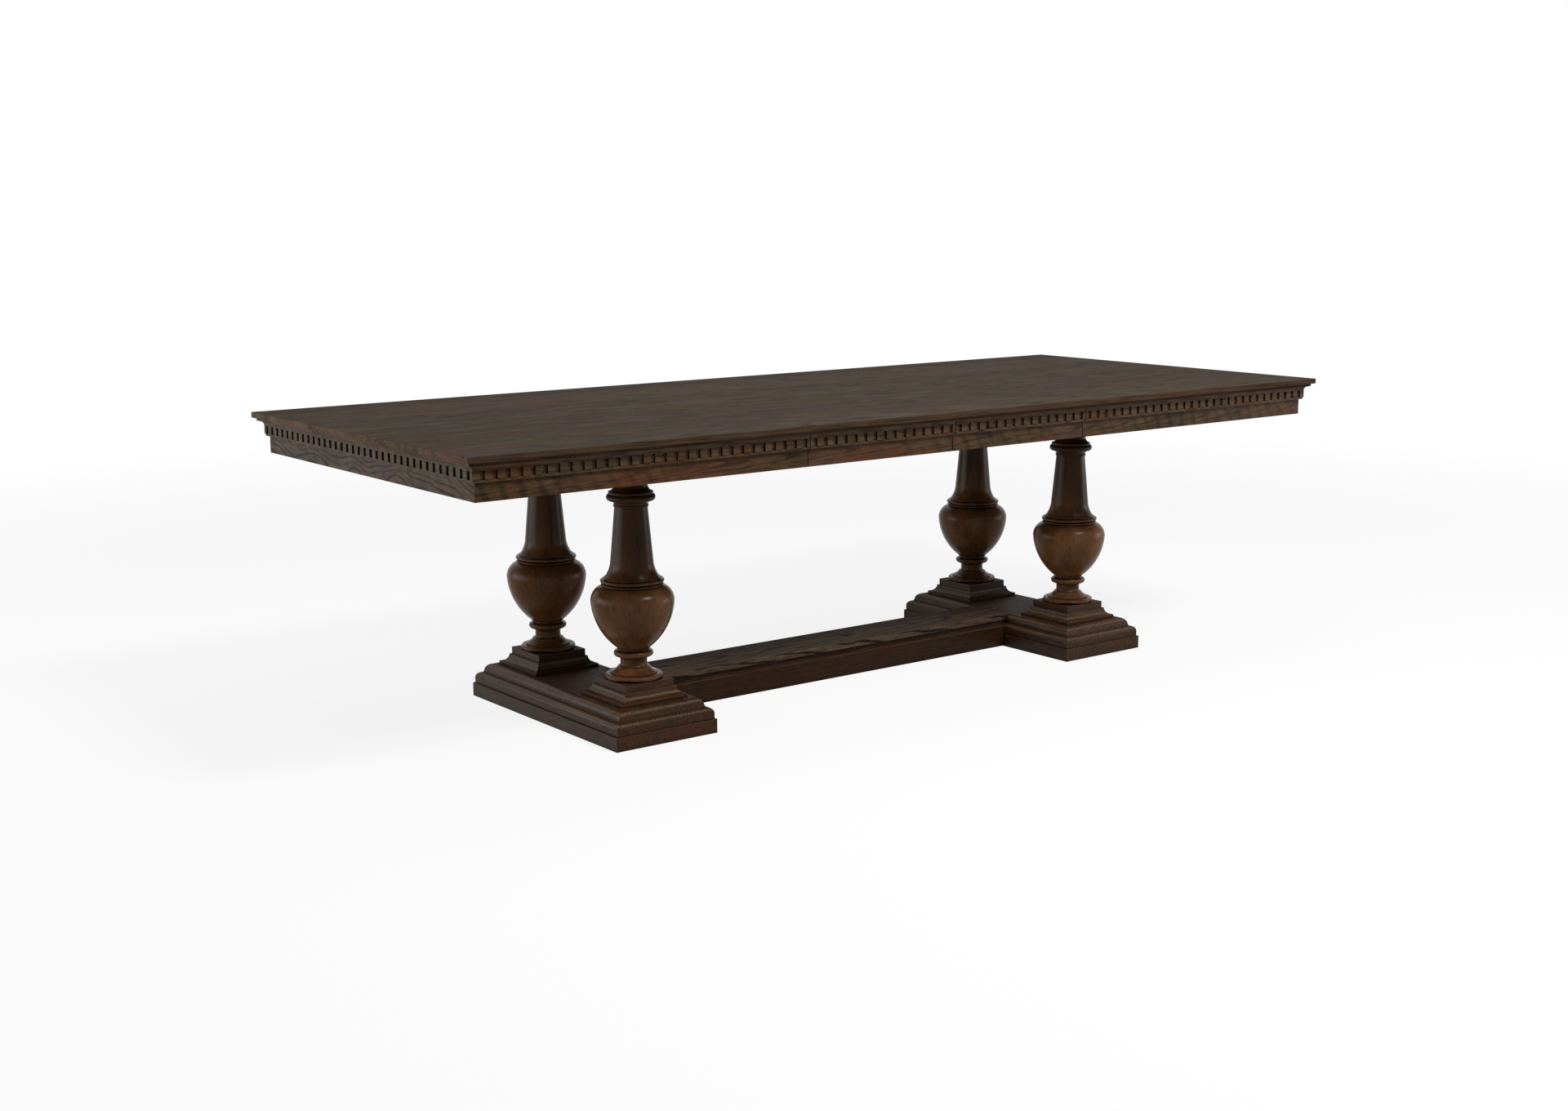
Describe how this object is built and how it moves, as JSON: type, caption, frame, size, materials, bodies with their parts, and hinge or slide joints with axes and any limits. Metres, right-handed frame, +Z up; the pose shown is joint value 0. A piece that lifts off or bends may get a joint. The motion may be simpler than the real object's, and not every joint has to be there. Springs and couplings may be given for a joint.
{
  "type": "extension trestle table",
  "caption": "Long extending trestle table with a dentil-moulded oak top, turned urn legs on moulded sledge feet and a low floor stretcher.",
  "frame": {"origin": "on the floor under the centre of the table", "axes": "+X along the table's length, +Y towards the back long side, +Z up; the front long side faces -Y"},
  "size_m": [2.743, 1.118, 0.762],
  "materials": {
    "top_oak": "dark brown stained oak, satin",
    "stained_oak": "brown stained oak, satin",
    "turned_wood": "brown stained turned wood, semi-gloss",
    "plain_wood": "unstained hardwood, matt",
    "beech": "plain beech",
    "steel": "zinc-plated steel"
  },
  "bodies": {
    "base": {"back_fixed_rail": "plain_wood", "front_fixed_rail": "plain_wood", "gear_axle": "steel", "gear_board": "plain_wood", "gear_plate": "steel", "left_back_leg": "turned_wood", "left_back_plinth": "stained_oak", "left_bearer": "plain_wood", "left_foot_base": "stained_oak", "left_foot_moulding": "stained_oak", "left_front_leg": "turned_wood", "left_front_plinth": "stained_oak", "rail_bolts": "steel", "right_back_leg": "turned_wood", "right_back_plinth": "stained_oak", "right_bearer": "plain_wood", "right_foot_base": "stained_oak", "right_foot_moulding": "stained_oak", "right_front_leg": "turned_wood", "right_front_plinth": "stained_oak", "stretcher_beam": "stained_oak", "stretcher_cap": "top_oak", "stretcher_dowels": "beech", "tie_rod_nuts": "steel", "tie_rods": "steel"},
    "pinion": {"pinion": "steel"},
    "left_half": {"left_back_apron": "stained_oak", "left_back_moulding": "stained_oak", "left_back_slide": "plain_wood", "left_board": "top_oak", "left_end_apron": "stained_oak", "left_end_moulding": "stained_oak", "left_front_apron": "stained_oak", "left_front_moulding": "stained_oak", "left_front_slide": "plain_wood", "left_rack": "steel", "left_screws": "steel", "left_seam_pins": "beech"},
    "left_leaf": {"left_leaf_back_apron": "stained_oak", "left_leaf_back_moulding": "stained_oak", "left_leaf_board": "top_oak", "left_leaf_front_apron": "stained_oak", "left_leaf_front_moulding": "stained_oak"},
    "right_half": {"right_back_apron": "stained_oak", "right_back_moulding": "stained_oak", "right_back_slide": "plain_wood", "right_board": "top_oak", "right_end_apron": "stained_oak", "right_end_moulding": "stained_oak", "right_front_apron": "stained_oak", "right_front_moulding": "stained_oak", "right_front_slide": "plain_wood", "right_rack": "steel", "right_screws": "steel", "right_seam_pins": "beech"},
    "right_leaf": {"right_leaf_back_apron": "stained_oak", "right_leaf_back_moulding": "stained_oak", "right_leaf_board": "top_oak", "right_leaf_front_apron": "stained_oak", "right_leaf_front_moulding": "stained_oak"}
  },
  "joints": [
    {"name": "left_half_slide", "type": "slide", "parent": "base", "child": "left_half", "axis": [-1, 0, 0], "range_m": [0, 0.035]},
    {"name": "right_half_slide", "type": "slide", "parent": "base", "child": "right_half", "axis": [1, 0, 0], "range_m": [0, 0.035]},
    {"name": "pinion_spin", "type": "hinge", "parent": "base", "child": "pinion", "pos_m": [0, 0, 0.729], "axis": [0, 0, -1], "range_deg": [0, 83.56]},
    {"name": "left_leaf_lift", "type": "slide", "parent": "base", "child": "left_leaf", "axis": [0, 0, 1], "range_m": [0, 0.3]},
    {"name": "right_leaf_lift", "type": "slide", "parent": "base", "child": "right_leaf", "axis": [0, 0, 1], "range_m": [0, 0.3]}
  ],
  "couplings": [
    {"joint": "right_half_slide", "follows": "left_half_slide", "ratio": 1},
    {"joint": "pinion_spin", "follows": "left_half_slide", "rad_per_m": 41.667}
  ]
}
